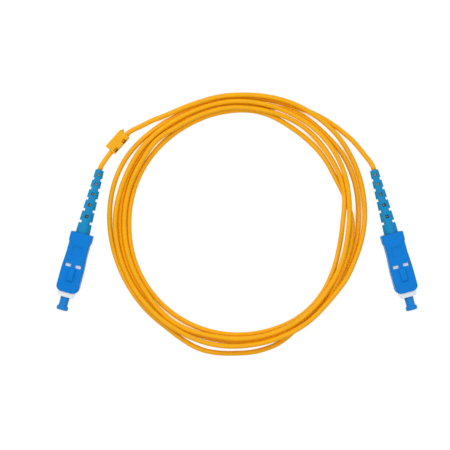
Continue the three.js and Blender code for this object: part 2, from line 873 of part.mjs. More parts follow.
const listed = (points) => points.map(([x, y, z]) => new THREE.Vector3(x, y, z));

// The cord runs straight through the clip and for the clip's travel beyond each end of it.
function clipRun() {
  const along = new THREE.Vector3(Math.cos(radians(clip.bearing)), Math.sin(radians(clip.bearing)), 0);
  const middle = new THREE.Vector3(clip.x, clip.y, clip.z);
  const reach = clip.length / 2 + clip.travel;
  return [-reach - 0.4, -reach, 0, reach, reach + 0.4].map((distance) =>
    middle.clone().addScaledVector(along, distance),
  );
}

function clipBody() {
  const bore = cordDiameter / 2 + slideClearance;
  const half = { halfWidth: clip.width / 2, halfHeight: clip.height / 2, x: -clip.offset };
  const end = clip.length / 2;
  const soft = clip.edgeRadius;
  const shrunk = { ...half, halfWidth: half.halfWidth - soft / 2, halfHeight: half.halfHeight - soft / 2 };
  const innerFace = half.halfWidth - clip.offset;
  const through = 1;
  let body = lofted([
    { y: -end, radius: soft / 2, ...shrunk },
    { y: -end + soft / 2, radius: soft, ...half },
    { y: end - soft / 2, radius: soft, ...half },
    { y: end, radius: soft / 2, ...shrunk },
  ]);
  body = body.add(clipTab());
  body = body.subtract(tubeCutter(bore, end + through));
  // The mouth by which the clip snaps on the cord, all along its inner side.
  body = body.subtract(
    block([0, innerFace + through], [-end - through, end + through], [-clip.slotHeight / 2, clip.slotHeight / 2]),
  );
  for (const side of [-1, 1]) {
    // A notch opens the upper jaw only, down to the mouth's floor.
    const middle = (side * clip.notchSpacing) / 2 + clip.notchShift;
    body = body.subtract(
      block(
        [innerFace - clip.notchDepth, innerFace + through],
        [middle - clip.notchLength / 2, middle + clip.notchLength / 2],
        [-clip.slotHeight / 2, clip.height],
      ),
    );
  }
  return body;
}

const tubeCutter = (radius, halfLength) =>
  turned(
    [
      [0, -halfLength],
      [radius, -halfLength],
      [radius, halfLength],
      [0, halfLength],
    ],
    fine,
  );

// The pointed tab at the clip's outer corner, on the side of the ring.
function clipTab() {
  const end = clip.length / 2 - clip.edgeRadius / 2;
  const outer = -clip.width / 2 - clip.offset + clip.edgeRadius;
  const shape = new THREE.Shape([
    new THREE.Vector2(outer, end - clip.tabWidth),
    new THREE.Vector2(outer + clip.tabWidth, end - clip.tabWidth),
    new THREE.Vector2(outer + clip.tabWidth, end),
    new THREE.Vector2(outer, end + clip.tabLength),
  ]);
  const geometry = new THREE.ExtrudeGeometry(shape, { depth: clip.tabThickness, bevelEnabled: false });
  geometry.translate(0, 0, -clip.tabThickness / 2);
  return solid(geometry);
}

// ---------------------------------------------------------------------------------------------- assembly

const ring = ringPath();
const ringFirst = ring[0];
const ringLast = ring[ring.length - 1];
const outOf = (end, next) => ({ end, along: end.clone().sub(next).normalize() });

const leftLead = leadBody([
  ...straightRun(bootExit(-1)),
  ...clipRun(),
  ...listed(leftLeadPoints),
  ...straightRun(outOf(ringLast, ring[ring.length - 2])).reverse(),
]);
const rightLead = leadBody([
  ...straightRun(outOf(ringFirst, ring[1])),
  ...listed(rightLeadPoints),
  ...straightRun(bootExit(1)).reverse(),
]);

const markerClip = mesh("marker_clip", clipBody(), finishes.clipYellow());
markerClip.position.set(clip.x, clip.y, clip.z);
markerClip.rotation.z = radians(clip.bearing - 90);

const cordPieces = [
  mesh("coil", rope(ring, cordDiameter / 2, 6, new THREE.Vector3(0, 0, 1)), finishes.jacketYellow()),
  mesh("lead_left", leftLead.body, finishes.jacketYellow()),
  mesh("lead_right", rightLead.body, finishes.jacketYellow()),
  markerClip,
];

let ringLength = 0;
for (let i = 0; i + 1 < ring.length; i++) ringLength += ring[i].distanceTo(ring[i + 1]);
const halfTurn = Math.PI * Math.min(...innerRadius);
const oneCurl = Math.PI * springBore;
console.log(`ring: ${ringLength.toFixed(0)} mm of cord, least gap ${leastGap(ring, cordDiameter, halfTurn).toFixed(2)} mm`);
console.log(`spring: least gap ${leastGap(springRun, spring.wire, oneCurl / 2).toFixed(2)} mm`);
console.log(`leads: left ${leftLead.length.toFixed(1)} mm, right ${rightLead.length.toFixed(1)} mm`);

// The origin is on the ground, below the middle of the two plugs' common box.
const plugs = new THREE.Group();
plugs.add(plug("left", -1), plug("right", 1));
plugs.updateMatrixWorld(true);
const middle = new THREE.Box3().setFromObject(plugs, true).getCenter(new THREE.Vector3());

const laid = new THREE.Group();
laid.add(plugs, ...cordPieces);
laid.position.set(-middle.x, -middle.y, 0);

const patchCord = new THREE.Group();
patchCord.add(laid);

export default patchCord;
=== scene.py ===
# %% [markdown]
# # A fibre optic patch cord, dressed in Blender
#
# The real object is one yellow cord about 1.66 m long, wound in a loose ring, with a square push-pull plug
# in a slotted rubber boot at each end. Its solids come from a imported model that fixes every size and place.
# Here each visible solid gets a finer piece in its stead, and every piece gets its real finish.
# Lengths are written in millimetres and turned into metres where a mesh is finished, because at this size
# millimetres are what a ruler reads.

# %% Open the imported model
import json
from math import ceil, cos, floor, pi, radians, sin, sqrt, tau

import bmesh
import bpy
import numpy as np
from mathutils import Matrix, Vector


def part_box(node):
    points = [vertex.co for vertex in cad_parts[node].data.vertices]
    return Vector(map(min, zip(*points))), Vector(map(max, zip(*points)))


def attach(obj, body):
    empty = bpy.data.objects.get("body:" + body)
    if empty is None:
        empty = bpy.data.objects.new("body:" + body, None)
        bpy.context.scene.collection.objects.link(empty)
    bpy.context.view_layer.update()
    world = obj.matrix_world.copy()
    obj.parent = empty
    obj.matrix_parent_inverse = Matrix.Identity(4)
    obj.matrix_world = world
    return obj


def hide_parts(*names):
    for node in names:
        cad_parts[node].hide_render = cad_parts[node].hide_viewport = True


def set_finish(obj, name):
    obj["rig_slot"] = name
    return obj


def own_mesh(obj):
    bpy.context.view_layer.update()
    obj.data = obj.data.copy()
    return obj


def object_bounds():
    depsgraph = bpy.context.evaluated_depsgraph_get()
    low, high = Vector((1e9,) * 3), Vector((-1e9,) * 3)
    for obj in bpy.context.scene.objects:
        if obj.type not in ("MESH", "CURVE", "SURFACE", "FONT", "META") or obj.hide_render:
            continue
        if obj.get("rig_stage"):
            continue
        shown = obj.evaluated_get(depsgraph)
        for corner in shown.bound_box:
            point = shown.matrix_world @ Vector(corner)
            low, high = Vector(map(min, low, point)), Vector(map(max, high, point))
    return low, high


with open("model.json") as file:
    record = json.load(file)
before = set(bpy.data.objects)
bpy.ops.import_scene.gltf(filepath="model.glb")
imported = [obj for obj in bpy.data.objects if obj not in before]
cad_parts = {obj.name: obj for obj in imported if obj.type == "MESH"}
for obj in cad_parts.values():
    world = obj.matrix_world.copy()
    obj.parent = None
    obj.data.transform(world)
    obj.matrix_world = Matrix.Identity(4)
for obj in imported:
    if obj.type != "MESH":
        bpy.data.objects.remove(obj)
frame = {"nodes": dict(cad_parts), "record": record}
solid_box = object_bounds()
mm = 0.001

# %% [markdown]
# ## Where the plugs and the ring are
#
# Both plugs lie on their flat sides and lean a little towards each other. Every piece of a plug is built
# along the plug's own axis, with y = 0 at the front of the blue grip and y growing towards the cord, and is
# then laid in its place by one matrix. That way a piece is written once and used at both ends.
# The ceramic ferrule's solid tells where each plug is, so nothing has to be fitted by eye.

# %% The plugs' places
lean = radians(15.25)
sides = {"left": -1, "right": 1}
ferrule_middle = 1.25  # its place along the plug's axis
grip_middle = 12.35


def rearward(side):
    """The way from the dust cap to the cord."""
    return Vector((-sides[side] * sin(lean), cos(lean), 0))


def plug_origin(side):
    low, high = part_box(f"ferrule_{side}")
    return (low + high) / 2 / mm - ferrule_middle * rearward(side)


def plug_place(side):
    """Turns a plug's own millimetres into metres in the shared frame."""
    turn = Matrix.Rotation(sides[side] * lean, 4, "Z")
    return Matrix.Scale(mm, 4) @ Matrix.Translation(plug_origin(side)) @ turn


ring_above_grips = 16.0  # from the middle of a grip to the ring's centre, in the picture
ring_centre = Vector((0, plug_origin("left").y + ring_above_grips + grip_middle * cos(lean), 0))
print("ring centre", [round(value, 3) for value in ring_centre])

# %% [markdown]
# ## The camera
#
# The photograph was taken from straight above with a long lens, so a millimetre is as wide at the edge of
# the picture as in its middle. A perspective camera with a 135 mm lens, almost 0.7 m up, gives that look.
# Its place follows from the ring's centre in the picture and from 2.45 pixels per millimetre.

# %% Camera
picture_pixels = 450
pixels_per_mm = 2.45
ring_pixel = (236.9, 223.5)
lens = 135
sensor = 36
level = 3.7  # the height at which the scale holds: the plugs' axes

camera = bpy.data.cameras.new("camera")
camera.lens = lens
camera.sensor_width = sensor
camera.clip_start, camera.clip_end = 0.05, 5
camera_stand = bpy.data.objects.new("camera", camera)
bpy.context.scene.collection.objects.link(camera_stand)
right_of_ring = (picture_pixels / 2 - ring_pixel[0]) / pixels_per_mm
above_ring = (ring_pixel[1] - picture_pixels / 2) / pixels_per_mm
camera_height = picture_pixels / pixels_per_mm * lens / sensor + level
camera_stand.location = (ring_centre + Vector((right_of_ring, above_ring, camera_height))) * mm
bpy.context.scene.camera = camera_stand
print("camera at", [round(value, 4) for value in camera_stand.location])

# %% [markdown]
# ## The cord's route
#
# The cord runs from the left boot through the marker clip into the ring, five turns round, and out to the
# right boot. Its turns share six lanes and change from lane to lane where the photograph shows a crossing.
# A formula gives the radius at every bearing, so the route can be walked in steps as fine as needed. The
# numbers below are the ones that the solid was wound with.

# %% The ring's lanes
cord_diameter = 2.0
inner_radius = [43.4, 44.5, 45.3, 46.2, 45.0, 44.5, 44.2, 44.8, 45.3, 45.6, 45.7, 44.3]
lane_step = [2.07, 2.0, 1.78, 1.25, 1.38, 1.9, 1.88, 1.6, 1.5, 1.43, 1.25, 1.4]
ring_start, ring_end = 45, 5 * 360 + 120
lane_at_start = 7
lane_changes = [  # begins, ends, lane
    (25, 76, 4.35),
    (95, 125, 4),
    (290, 330, 3.1),
    (362, 386, 3.5),
    (388, 408, 3),
    (420, 448, 2),
    (714, 750, 0),
    (1077, 1104, 1),
    (1430, 1494, 2.7),
    (1505, 1532, 3),
    (1738, 1776, 4),
    (1780, 1850, 5.05),
    (1905, 1945, 6.2),
]
bunched_lanes = [1.8, 3.2, 0.35, 1.0, 3.2]  # where the turns crowd together at the lower right
strays = [  # at, reach, by
    (160, 42, 0.75),
    (253, 20, 1.75),
    (275, 32, 1.85),
    (408, 26, 0.75),
    (422, 16, 0.5),
    (772, 18, -0.2),
    (798, 20, 0.6),
    (1067, 25, -0.55),
    (1136, 28, 0.95),
    (1214, 14, 0.9),
    (1318, 25, 1.2),
    (1596, 27, -0.8),
    (1697, 22, 0.4),
]


def ease(t):
    t = min(max(t, 0), 1)
    return t * t * (3 - 2 * t)


def rise(value, start, end):
    return ease((value - start) / (end - start))


def around(values, bearing):
    """A value given at twelve bearings, read anywhere between them on a smooth closed curve."""
    place = (bearing % 360) / 30
    i, t = int(place), place % 1
    a, b, c, d = (values[(i + k) % 12] for k in (-1, 0, 1, 2))
    return 0.5 * (2 * b + (c - a) * t + (2 * a - 5 * b + 4 * c - d) * t**2 + (3 * b - a - 3 * c + d) * t**3)


def lane_at(bearing):
    lane = lane_at_start
    for begins, ends, new_lane in lane_changes:
        lane += (new_lane - lane) * rise(bearing, begins, ends)
    for turn, bunched in enumerate(bunched_lanes):
        here = bearing - 360 * turn
        lane += (bunched - lane) * (rise(here, 287, 311) - rise(here, 313, 335))
    return lane


def ring_radius(bearing):
    strayed = sum(by * ease(1 - abs(bearing - at) / reach) for at, reach, by in strays)
    return around(inner_radius, bearing) + lane_at(bearing) * max(around(lane_step, bearing), 1.25) + strayed


radii = [round(ring_radius(bearing), 2) for bearing in (ring_start, ring_end)]
print("radius at the start and at the end of the ring", radii)

# %% [markdown]
# ## Which turn lies on which
#
# A cord has weight, so every turn lies on the table or rests on the turns below it. Simulating the fall
# would work, but the answer is simple enough to calculate: wherever two turns come closer than a diameter
# seen from above, the later one has to climb. Heights are found every 15 degrees and eased between, which
# gives the long low humps of a springy cord.

# %% The ring's heights
coarse_step = 15
turn_steps = 24
resting = cord_diameter + 0.16  # from centre to centre where two turns touch
heights = []


def coarse_height(place):
    low, high = heights[floor(place)], heights[ceil(place)]
    return low + (high - low) * (place % 1)


for i in range((ring_end - ring_start) // coarse_step + 1):
    height = cord_diameter / 2
    for quarter in range(-4, 5):
        over = i + quarter / 4
        under = over - turn_steps
        while under >= 0:
            over_radius = ring_radius(ring_start + over * coarse_step)
            beside = abs(over_radius - ring_radius(ring_start + under * coarse_step))
            if beside < resting:
                height = max(height, coarse_height(under) + sqrt(resting**2 - beside**2))
            under -= turn_steps
    heights.append(height)
print(f"the highest turn's middle is {max(heights):.2f} mm up")


def ring_point(bearing):
    place = (bearing - ring_start) / coarse_step
    low, high = heights[floor(place)], heights[ceil(place)]
    radius = ring_radius(bearing)
    height = low + (high - low) * ease(place % 1)
    return ring_centre + Vector((radius * cos(radians(bearing)), radius * sin(radians(bearing)), height))


fine_step = 2
ring = [ring_point(bearing) for bearing in range(ring_start, ring_end + 1, fine_step)]
if (ring_end - ring_start) % fine_step:
    ring.append(ring_point(ring_end))

# %% [markdown]
# ## The two leads
#
# Between the ring and each boot the cord runs free. A curve through a few chosen points draws it; the
# centripetal Catmull-Rom curve is the one that never loops or overshoots where the points are unevenly
# spaced. The cord leaves each boot straight, and it runs straight through the marker clip.

# %% Leads
boot_rear = 51.6
straight_out = 1.2  # run of cord straight out of a boot or a turn
lead_step = 1.5  # between the rings of points along a lead
clip_bearing = radians(48)
clip_middle = ring_centre + Vector((-48.1, 32.8, 2.6))
clip_along = Vector((cos(clip_bearing), sin(clip_bearing), 0))
right_points = [
    (44.0, 36.9, 1.25),
    (47.2, 34.1, 1.7),
    (50.6, 30.1, 2.45),
    (52.9, 27.1, 3.1),
    (54.6, 24.9, 3.45),
]
left_points = [(-42.6, 38.2, 2.6), (-39.4, 39.7, 2.5), (-35.1, 41.9, 2.3), (-31.3, 43.4, 2.2)]


def through(points, spacing):
    """Points about every `spacing` along a centripetal Catmull-Rom curve through the given ones."""
    ends = [2 * points[0] - points[1], *points, 2 * points[-1] - points[-2]]
    walked = [points[0]]
    for a, b, c, d in zip(ends, ends[1:], ends[2:], ends[3:]):
        before, here, after = (max((q - p).length, 1e-4) ** 0.5 for p, q in ((a, b), (b, c), (c, d)))
        leaving = ((b - a) / before - (c - a) / (before + here) + (c - b) / here) * here
        arriving = ((c - b) / here - (d - b) / (here + after) + (d - c) / after) * here
        steps = max(ceil((c - b).length / spacing), 1)
        for step in range(1, steps + 1):
            t = step / steps
            walked.append(
                b
                + leaving * t
                + (3 * (c - b) - 2 * leaving - arriving) * t**2
                + (2 * (b - c) + leaving + arriving) * t**3
            )
    return walked


def boot_end(side):
    return plug_origin(side) + boot_rear * rearward(side)


clip_run = [clip_middle + clip_along * reach for reach in (-6.0, -5.6, 0, 5.6, 6.0)]
ring_out = (ring[-1] - ring[-2]).normalized()
left_lead = through(
    [
        boot_end("left"),
        boot_end("left") + straight_out * rearward("left"),
        *clip_run,
        *(ring_centre + Vector(point) for point in left_points),
        ring[-1] + straight_out * ring_out,
        ring[-1],
    ],
    lead_step,
)
ring_in = (ring[0] - ring[1]).normalized()
right_lead = through(
    [
        ring[0],
        ring[0] + straight_out * ring_in,
        *(ring_centre + Vector(point) for point in right_points),
        boot_end("right") + straight_out * rearward("right"),
        boot_end("right"),
    ],
    lead_step,
)
route = [*left_lead, *reversed(ring[:-1]), *right_lead[1:]]

# %% [markdown]
# A route that is right can be tested: no two turns may be closer than a diameter, centre to centre.

# %% Least gap between turns
line = np.array(route)
walked = np.concatenate([[0], np.cumsum(np.linalg.norm(np.diff(line, axis=0), axis=1))])
apart = np.linalg.norm(line[:, None] - line[None], axis=2)
same_stretch = 60  # two points nearer than this along the cord are on the same stretch of it
apart[np.abs(walked[:, None] - walked[None]) < same_stretch] = np.inf
print(f"least gap between turns {apart.min() - cord_diameter:.2f} mm")

# %% [markdown]
# ## Tools for turned and moulded pieces
#
# Nearly everything in a plug is either turned, which is a profile swept round the axis, or moulded, which is
# a rounded box with pockets in it. The cord and the springs are wires along a path. Five small tools cover
# all that: they skin rings of points, turn a profile, loft rounded rectangles, draw a wire along a path and
# make plain blocks to cut with.


# %% Skin, turn, loft, wire, block
def skinned(rings, closed=False):
    """Rings of points joined by quads. The ends are capped, or joined to each other if closed."""
    made = bmesh.new()
    rows = [[made.verts.new(point) for point in ring] for ring in rings]
    pairs = list(zip(rows, rows[1:])) + ([(rows[-1], rows[0])] if closed else [])
    for row, next_row in pairs:
        for j in range(len(row)):
            k = (j + 1) % len(row)
            made.faces.new((row[j], row[k], next_row[k], next_row[j]))
    if not closed:
        made.faces.new(reversed(rows[0]))
        made.faces.new(rows[-1])
    bmesh.ops.remove_doubles(made, verts=made.verts, dist=1e-5)
    bmesh.ops.recalc_face_normals(made, faces=made.faces)
    mesh = bpy.data.meshes.new("skinned")
    made.to_mesh(mesh)
    made.free()
    return mesh


def turned(profile, steps=64, bored=False):
    """A profile of (radius, y) turned about the plug's axis. A bored one is a closed outline off the axis."""
    rings = []
    for radius, y in profile:
        angles = [tau * j / steps for j in range(steps)]
        rings.append([(radius * cos(angle), y, radius * sin(angle)) for angle in angles])
    return skinned(rings, closed=bored)


def rounded_box(sections, corner_steps=6):
    """Rounded rectangles at places along y: (y, half width, half height, corner radius, sideways shift)."""
    rings = []
    for y, half_width, half_height, radius, shift in sections:
        ring = []
        for corner, (sx, sz) in enumerate(((1, 1), (-1, 1), (-1, -1), (1, -1))):
            for i in range(corner_steps + 1):
                angle = pi / 2 * (corner + i / corner_steps)
                x = shift + sx * (half_width - radius) + radius * cos(angle)
                z = sz * (half_height - radius) + radius * sin(angle)
                ring.append((x, y, z))
        rings.append(ring)
    return skinned(rings)


def wire_along(path, radius, count, upright):
    """A round wire along a path: a ring of points square to it at each point."""
    rings = []
    for i, point in enumerate(path):
        along = (path[min(i + 1, len(path) - 1)] - path[max(i - 1, 0)]).normalized()
        across = along.cross(upright).normalized()
        down = along.cross(across)
        angles = [tau * j / count for j in range(count)]
        rings.append([point + across * radius * cos(angle) + down * radius * sin(angle) for angle in angles])
    return skinned(rings)


def block(x, y, z):
    """A box between two values of x, y and z."""
    return skinned([[(x[0], at, z[0]), (x[1], at, z[0]), (x[1], at, z[1]), (x[0], at, z[1])] for at in y])


# %% [markdown]
# ## The cord itself
#
# A curve with a round bevel would also make a cord, but a mesh tube shows exactly the vertices that it has.
# The wire tool draws it round the route, and the jacket's finish goes on it later.

# %% Cord
jacket = wire_along(route, cord_diameter / 2, 16, Vector((0, 0, 1)))
jacket.transform(Matrix.Scale(mm, 4))
jacket.shade_smooth()
jacket.name = "yellow_cord"
yellow_cord = bpy.data.objects.new("yellow_cord", jacket)
bpy.context.scene.collection.objects.link(yellow_cord)
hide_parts("lead_left", "coil", "lead_right")
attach(yellow_cord, "cord")
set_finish(yellow_cord, "jacket_yellow")
print(f"cord: {len(jacket.polygons)} faces")

# %% [markdown]
# Pockets, slots and windows are cut with Boolean modifiers, which work on any closed shape. All of a piece's
# cutters go in one modifier, so each piece pays for one cut. A narrow Bevel afterwards rounds every sharp
# edge: no moulded or turned edge is ever truly sharp, and the highlight along it is what the eye reads as
# real.


# %% Cut, join and round
workbench = bpy.context.scene.collection


def joined(*meshes):
    together = bmesh.new()
    for mesh in meshes:
        together.from_mesh(mesh)
    mesh = bpy.data.meshes.new("joined")
    together.to_mesh(mesh)
    together.free()
    return mesh


def settled(piece):
    """The mesh that a piece's modifiers make, with the modifiers gone."""
    graph = bpy.context.evaluated_depsgraph_get()
    mesh = bpy.data.meshes.new_from_object(piece.evaluated_get(graph))
    bpy.data.objects.remove(piece)
    return mesh


def combined(body, operation, *others):
    """`body` with the others cut out of it (DIFFERENCE) or joined to it (UNION)."""
    piece = bpy.data.objects.new("piece", body)
    cutter = bpy.data.objects.new("cutter", joined(*others))
    workbench.objects.link(piece)
    workbench.objects.link(cutter)
    boolean = piece.modifiers.new("boolean", "BOOLEAN")
    boolean.operation = operation
    boolean.solver = "EXACT"
    boolean.use_self = True
    boolean.object = cutter
    mesh = settled(piece)
    bpy.data.objects.remove(cutter)
    return mesh


def softened(body, width, angle=32, steps=2):
    """`body` with its sharp edges rounded, and smooth to the eye everywhere else."""
    piece = bpy.data.objects.new("piece", body)
    workbench.objects.link(piece)
    bevel = piece.modifiers.new("bevel", "BEVEL")
    bevel.width = width
    bevel.segments = steps
    bevel.limit_method = "ANGLE"
    bevel.angle_limit = radians(angle)
    bevel.use_clamp_overlap = True
    bevel.miter_outer = "MITER_ARC"
    mesh = settled(piece)
    mesh.shade_smooth()
    mesh.set_sharp_from_angle(angle=radians(38))
    return mesh


# %% [markdown]
# A finished mesh goes to its place at each end, rides on its body, takes the place of its solid and learns
# which finish it has. The finishes are made further down and put on at the end.

# %% Lay a piece in its place
dressed = []


def lay(name, mesh, place, body, slot, *solids):
    mesh = mesh.copy()
    mesh.transform(place)
    mesh.name = name
    piece = bpy.data.objects.new(name, mesh)
    bpy.context.scene.collection.objects.link(piece)
    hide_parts(*solids)
    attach(piece, body)
    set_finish(piece, slot)
    dressed.append(piece)
    return piece


def both_ends(name, mesh, body, slot, solid):
    """The same piece at both plugs. A body or solid of the left plug ends in _left, and so on."""
    made = []
    for side in sides:
        on = body if body == "cord" else f"{body}_{side}"
        made.append(lay(f"{name}_{side}", mesh, plug_place(side), on, slot, f"{solid}_{side}"))
    print(f"{name}: {len(mesh.polygons)} faces")
    return made


# %% [markdown]
# ## Ceramic ferrule
#
# The ferrule is a zirconia cylinder 2.5 mm across that holds the bare fibre on its axis to within a micron.
# Its tip is ground to a slight dome with a cone round it, and in the middle is the fibre's end. It is pure
# turned work, so the profile says it all.

# %% Ferrule
ferrule_radius = 1.25
ferrule_tip, ferrule_rear = -4.0, 6.5
dome = [(0.9 * t, ferrule_tip + 0.05 * t**2) for t in (0.09, 0.35, 0.6, 0.8, 1.0)]
ferrule = turned(
    [
        (0, ferrule_tip + 0.03),
        (0.07, ferrule_tip + 0.03),
        *dome,
        (ferrule_radius, ferrule_tip + 0.6),
        (ferrule_radius, ferrule_rear),
        (0, ferrule_rear),
    ]
)
both_ends("ceramic_ferrule", softened(ferrule, 0.04), "ferrule_unit", "zirconia", "ferrule")

# %% [markdown]
# ## Dust cap
#
# A soft polyethylene cap keeps dust off the ferrule. It has a short barrel, drawn in a little behind the
# rim that a fingernail pulls on, and a closed end.

# %% Dust cap
cap_tip, cap_mouth = -7.6, 1.0
dust_cap = turned(
    [
        (0, cap_tip + 0.12),
        (1.5, cap_tip + 0.12),
        (1.62, cap_tip),
        (2.05, cap_tip),
        (2.28, cap_tip + 0.1),
        (2.35, cap_tip + 0.32),
        (2.35, cap_tip + 1.42),
        (2.22, cap_tip + 1.62),
        (1.86, cap_tip + 1.85),
        (1.8, cap_tip + 2.2),
        (1.83, cap_tip + 4.0),
        (1.9, cap_tip + 5.6),
        (1.9, cap_mouth - 0.35),
        (1.72, cap_mouth),
        (1.46, cap_mouth),
        (1.28, cap_mouth - 0.35),
        (1.28, cap_tip + 1.0),
        (0, cap_tip + 1.0),
    ]
)
both_ends("soft_dust_cap", softened(dust_cap, 0.08), "dust_cap", "cap_blue", "dust_cap")

# %% [markdown]
# ## Plug frame
#
# The white frame is what really locks in an adapter. Its nose stands out of the blue grip, chamfered so
# that it finds the port, and its round mouth takes the adapter's sleeve. Inside, a thin web stops the
# ferrule's flange. Windows in its cheeks hold the spring stop's lugs, and shallow grooves lead the grip.

# %% Plug frame
nose_front, frame_rear = -2.0, 17.0
frame_box = rounded_box(
    [
        (nose_front, 3.0, 2.65, 0.5, 0),
        (nose_front + 1.4, 3.5, 2.9, 0.5, 0),
        (frame_rear, 3.5, 2.9, 0.5, 0),
    ]
)
frame_hollow = turned(
    [
        (0, nose_front - 1),
        (2.45, nose_front - 1),
        (2.45, nose_front),
        (2.3, nose_front + 0.15),
        (2.3, 2.5),
        (1.4, 2.5),
        (1.4, 3.6),
        (2.25, 3.6),
        (2.25, frame_rear + 1),
        (0, frame_rear + 1),
    ],
)
lug_window_y, lug_window_z = (13.75, 15.15), (-0.9, 0.9)
lug_windows = [block(x, lug_window_y, lug_window_z) for x in ((-4.5, -1.1), (1.1, 4.5))]
rib_grooves = [block(x, (5.9, 9.7), (-1.6, 1.6)) for x in ((-4.5, -3.05), (3.05, 4.5))]
plug_frame = combined(frame_box, "DIFFERENCE", frame_hollow, *lug_windows, *rib_grooves)
both_ends("white_plug_frame", softened(plug_frame, 0.1), "cord", "frame_white", "plug_frame")

# %% [markdown]
# ## Sliding grip
#
# The blue sleeve is what the fingers hold. Pulled back, it lets the adapter's hooks go. Seen from above it is
# rounded at the front, straight, drawn in at a waist and flared into two small wings at the rear, so its
# outline is a list of half widths. The cavity, the four windows and the shallow thumb panels are cut, and
# the key on top, which keeps the plug the right way up, is joined.


# %% Grip outline
grip_length, grip_half_height = 24.7, 3.7
front_half, waist_half, wing_half = 4.6, 4.2, 4.55  # half widths
front_radius = 2.2
narrows_from, narrows_for = 8.5, 8.8
flares_from, flares_for = 20.2, 1.4


def grip_half_width(y):
    if y < front_radius:
        return front_half - front_radius + sqrt(max(front_radius**2 - (front_radius - y) ** 2, 0))
    if y < narrows_from + narrows_for:
        return front_half + (waist_half - front_half) * ease((y - narrows_from) / narrows_for)
    return waist_half + (wing_half - waist_half) * ease((y - flares_from) / flares_for)


front_arc = [front_radius * (1 - cos(pi / 2 * i / 10)) for i in range(11)]
narrowing = [narrows_from + narrows_for * i / 8 for i in range(9)]
flare = [flares_from + flares_for * i / 6 for i in range(7)]
outline = [(y, grip_half_width(y)) for y in (*front_arc, *narrowing, *flare)]
outline += [(grip_length - 0.35, wing_half), (grip_length - 0.1, wing_half - 0.1), (grip_length, 4.2)]
grip_shell = rounded_box([(y, half_width, grip_half_height, 0.6, 0) for y, half_width in outline])
print(f"grip: widest {2 * max(half for _, half in outline):.2f} mm, waist {2 * waist_half:.2f} mm")

# %% Grip
key_side = [(4.7, 3.35), (9.9, 3.35), (9.9, 4.5), (5.1, 4.5), (4.7, 4.1)]
key = skinned([[(x, y, z) for y, z in key_side] for x in (-1.15, 1.15)])
ribs = [block(x, (6.0, 8.0), (-1.5, 1.5)) for x in ((-3.9, -3.25), (3.25, 3.9))]
cavity = block((-3.6, 3.6), (-1, grip_length + 1), (-3.0, 3.0))
grip_windows = [block(x, (10.45, 11.75), (-6, 6)) for x in ((-3.5, -0.95), (0.95, 3.5))]
thumb_panels = [block((-2, 2), (15.0, 19.0), z) for z in ((-5, -3.5), (3.5, 5))]
grip = combined(grip_shell, "UNION", key)
grip = combined(grip, "DIFFERENCE", cavity)
grip = combined(grip, "UNION", *ribs)
grip = combined(grip, "DIFFERENCE", *grip_windows, *thumb_panels)
both_ends("sliding_grip", softened(grip, 0.14, steps=3), "grip", "grip_blue", "grip")

# %% [markdown]
# ## Boot
#
# The boot is a rubber cone that spreads a bend over its length. Slots cut in from both sides leave only a
# narrow spine, and windows through top and bottom sit halfway between the slots, so it bends like a chain.
# The slots stand closer and the spine gets thinner towards the tip.

# %% Boot
root_radius, tip_radius = 2.9, 1.75
boot_front, root_end = 18.35, 26.4
boot_cone = turned(
    [
        (2.34, boot_front),
        (root_radius, boot_front),
        (root_radius, root_end),
        (tip_radius, boot_rear - 0.5),
        (tip_radius - 0.15, boot_rear - 0.15),
        (tip_radius - 0.5, boot_rear),
        (1.05, boot_rear),
        (1.05, 27.98),
        (1.46, 27.98),
        (1.46, 24.95),
        (2.34, 24.55),
    ],
    bored=True,
)


def window_cutter(y):
    """A window through top and bottom, small at the cord and wider towards the boot's skin."""
    rings = []
    small, wide = (0.38, 0.33), (0.9, 0.85)
    for z, (half_width, half_length) in ((-3.1, wide), (-1.0, small), (1.0, small), (3.1, wide)):
        rings.append(
            [
                (-half_width, y - half_length, z),
                (half_width, y - half_length, z),
                (half_width, y + half_length, z),
                (-half_width, y + half_length, z),
            ]
        )
    return skinned(rings)


boot_cuts = []
slot_pairs, slot_half_length = 5, 0.525
middle = grip_length + 4.7  # of the first pair of slots
for i in range(slot_pairs):
    pitch = 5.0 - 0.3 * i
    spine = 3.2 - 0.7 * i / 4
    for x in ((-4, -spine / 2), (spine / 2, 4)):
        boot_cuts.append(block(x, (middle - slot_half_length, middle + slot_half_length), (-4, 4)))
    boot_cuts.append(window_cutter(middle + pitch / 2))
    middle += pitch
boot = combined(boot_cone, "DIFFERENCE", *boot_cuts)
both_ends("slotted_boot", softened(boot, 0.12, steps=3), "cord", "boot_blue", "boot")

# %% [markdown]
# ## What the boot and the grip hide
#
# Inside each plug the cord ends in steps: the jacket stops in the crimp sleeve, the aramid yarn is folded
# over the spring stop's stem and crimped, and the buffered fibre goes on through a guide tube to the
# ferrule. The jacket's end shows yellow through the boot's windows. The metal pieces keep their solids and
# get a finish. The yarn is loose strands, so its solid gives way to a bundle of them.

# %% Jacket end and yarn
jacket_front = 24.95
jacket_end = turned([(0, jacket_front), (1.0, jacket_front), (1.0, boot_rear), (0, boot_rear)], 32)
both_ends("jacket_in_boot", softened(jacket_end, 0.05), "cord", "jacket_yellow", "jacket_end")

